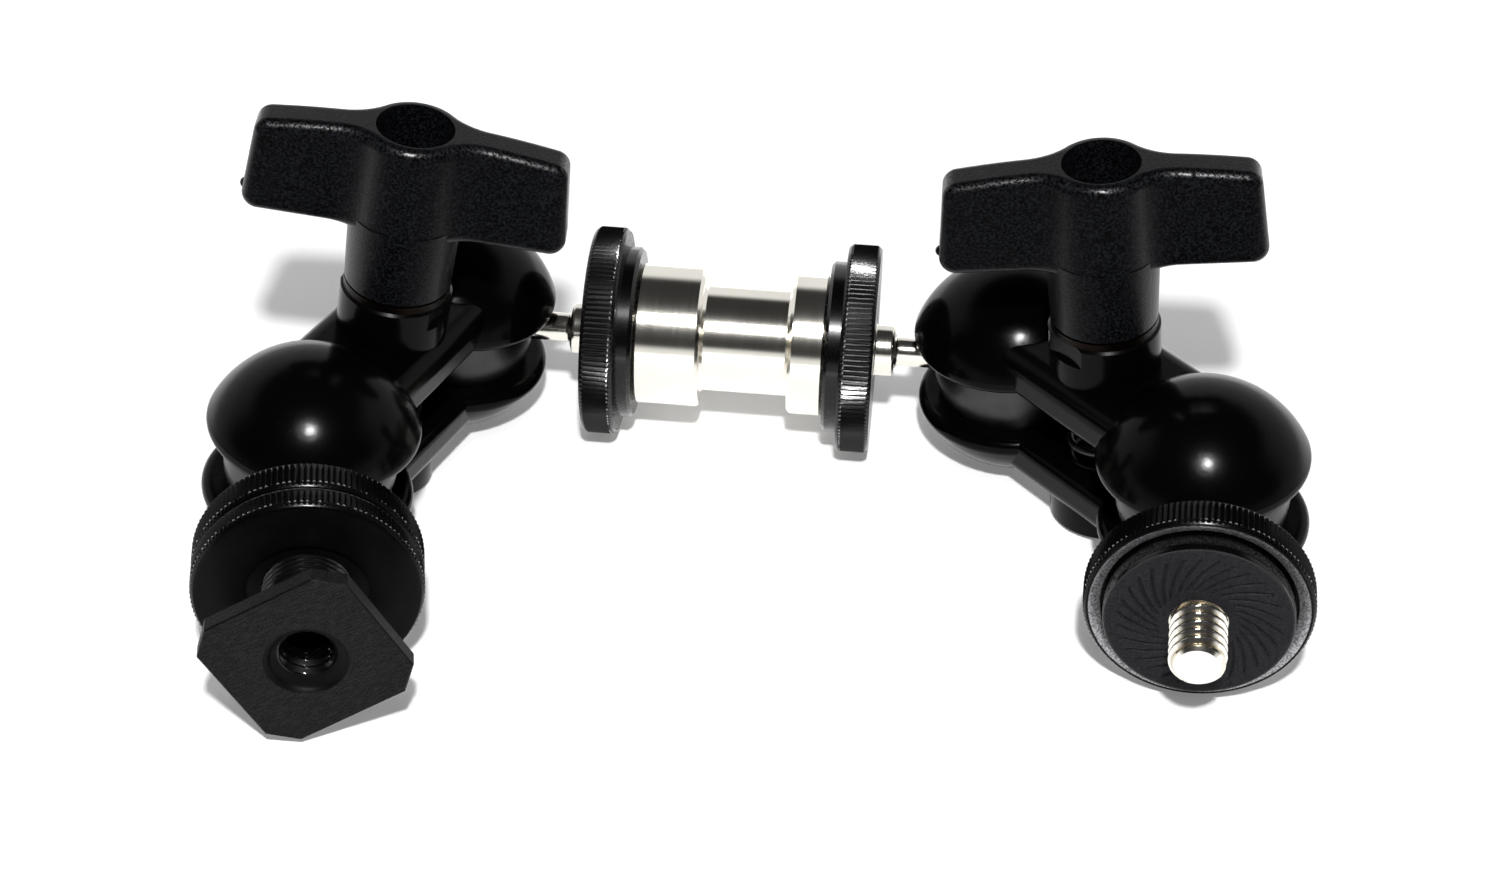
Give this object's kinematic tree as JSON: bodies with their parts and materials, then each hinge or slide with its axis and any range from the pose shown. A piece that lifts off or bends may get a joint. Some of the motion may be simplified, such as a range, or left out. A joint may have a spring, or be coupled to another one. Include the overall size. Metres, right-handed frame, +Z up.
{
  "type": "articulating friction arm",
  "caption": "Folding camera-accessory arm: ball clamps with T-knobs, a threaded spool between them, a screw stud at one end and a shoe foot at the other.",
  "frame": {"origin": "centre of the bounding box, at the height of the table the arm rests on", "axes": "+X along the middle spool towards the end with the stud, -Y towards the two free ends, +Z up"},
  "size_m": [0.1276, 0.081, 0.0511],
  "materials": {
    "nickel": "polished",
    "black_metal": "satin",
    "gloss_shell": "gloss",
    "knob_plastic": "matte",
    "rubber": "matte",
    "ball_steel": "satin",
    "bolt_steel": "satin",
    "brass": "satin"
  },
  "bodies": {
    "spool_bar": {"spool": "nickel", "left_inner_stem": "nickel", "left_inner_disc": "black_metal", "left_inner_pad": "rubber", "right_inner_stem": "nickel", "right_inner_disc": "black_metal", "right_inner_pad": "rubber"},
    "left_ball_in": {"left_inner_ball": "ball_steel"},
    "left_clamp": {"left_lower_shell": "gloss_shell", "left_clamp_bolt": "bolt_steel", "left_spring": "bolt_steel"},
    "left_jaw": {"left_upper_shell": "gloss_shell", "left_thrust_washer": "brass"},
    "left_grip_knob": {"left_knob": "knob_plastic", "left_knob_insert": "brass"},
    "left_ball_out": {"left_outer_ball": "ball_steel"},
    "left_end": {"left_outer_stem": "nickel", "left_outer_disc": "black_metal", "left_outer_pad": "rubber", "shoe_foot": "black_metal"},
    "right_ball_in": {"right_inner_ball": "ball_steel"},
    "right_clamp": {"right_lower_shell": "gloss_shell", "right_clamp_bolt": "bolt_steel", "right_spring": "bolt_steel"},
    "right_jaw": {"right_upper_shell": "gloss_shell", "right_thrust_washer": "brass"},
    "right_grip_knob": {"right_knob": "knob_plastic", "right_knob_insert": "brass"},
    "right_ball_out": {"right_outer_ball": "ball_steel"},
    "right_end": {"right_outer_stem": "nickel", "right_outer_disc": "black_metal", "right_outer_pad": "rubber"},
    "lock_wheel": {"lock_wheel": "black_metal"}
  },
  "joints": [
    {"name": "left_inner_twist", "type": "hinge", "parent": "spool_bar", "child": "left_ball_in", "pos_m": [-0.04007, 0.02785, 0.01345], "axis": [1, 0, -0.0037], "continuous": true},
    {"name": "left_inner_swing", "type": "hinge", "parent": "left_ball_in", "child": "left_clamp", "pos_m": [-0.04007, 0.02785, 0.01345], "axis": [0.1497, -0.0359, 0.9881], "range_deg": [-175, 30]},
    {"name": "left_jaw_open", "type": "slide", "parent": "left_clamp", "child": "left_jaw", "axis": [0.1497, -0.0359, 0.9881], "range_m": [0, 0.0015], "deforming": ["left_spring"]},
    {"name": "left_knob_turn", "type": "hinge", "parent": "left_jaw", "child": "left_grip_knob", "pos_m": [-0.04555, 0.01218, 0.01372], "axis": [0.1497, -0.0359, 0.9881], "range_deg": [0, 540]},
    {"name": "left_outer_swing", "type": "hinge", "parent": "left_clamp", "child": "left_ball_out", "pos_m": [-0.05103, -0.00349, 0.01398], "axis": [0.1497, -0.0359, 0.9881], "range_deg": [-120, 60]},
    {"name": "left_outer_twist", "type": "hinge", "parent": "left_ball_out", "child": "left_end", "pos_m": [-0.05103, -0.00349, 0.01398], "axis": [0.1895, -0.9808, -0.0458], "continuous": true},
    {"name": "right_inner_twist", "type": "hinge", "parent": "spool_bar", "child": "right_ball_in", "pos_m": [0.02953, 0.02785, 0.0132], "axis": [1, 0, -0.0037], "continuous": true},
    {"name": "right_inner_swing", "type": "hinge", "parent": "right_ball_in", "child": "right_clamp", "pos_m": [0.02953, 0.02785, 0.0132], "axis": [-0.1096, -0.062, 0.992], "range_deg": [-55, 150]},
    {"name": "right_jaw_open", "type": "slide", "parent": "right_clamp", "child": "right_jaw", "axis": [-0.1096, -0.062, 0.992], "range_m": [0, 0.0015], "deforming": ["right_spring"]},
    {"name": "right_knob_turn", "type": "hinge", "parent": "right_jaw", "child": "right_grip_knob", "pos_m": [0.04035, 0.01527, 0.01361], "axis": [-0.1096, -0.062, 0.992], "range_deg": [0, 540]},
    {"name": "right_outer_swing", "type": "hinge", "parent": "right_clamp", "child": "right_ball_out", "pos_m": [0.05117, 0.00268, 0.01402], "axis": [-0.1096, -0.062, 0.992], "range_deg": [-46, 133]},
    {"name": "right_outer_twist", "type": "hinge", "parent": "right_ball_out", "child": "right_end", "pos_m": [0.05117, 0.00268, 0.01402], "axis": [-0.044, -0.997, -0.0637], "continuous": true},
    {"name": "lock_wheel_travel", "type": "slide", "parent": "left_end", "child": "lock_wheel", "axis": [0.1895, -0.9808, -0.0458], "range_m": [0, 0.0075]}
  ],
  "couplings": [
    {"joint": "left_knob_turn", "follows": "left_jaw_open", "rad_per_m": 6283.2},
    {"joint": "right_knob_turn", "follows": "right_jaw_open", "rad_per_m": 6283.2}
  ]
}
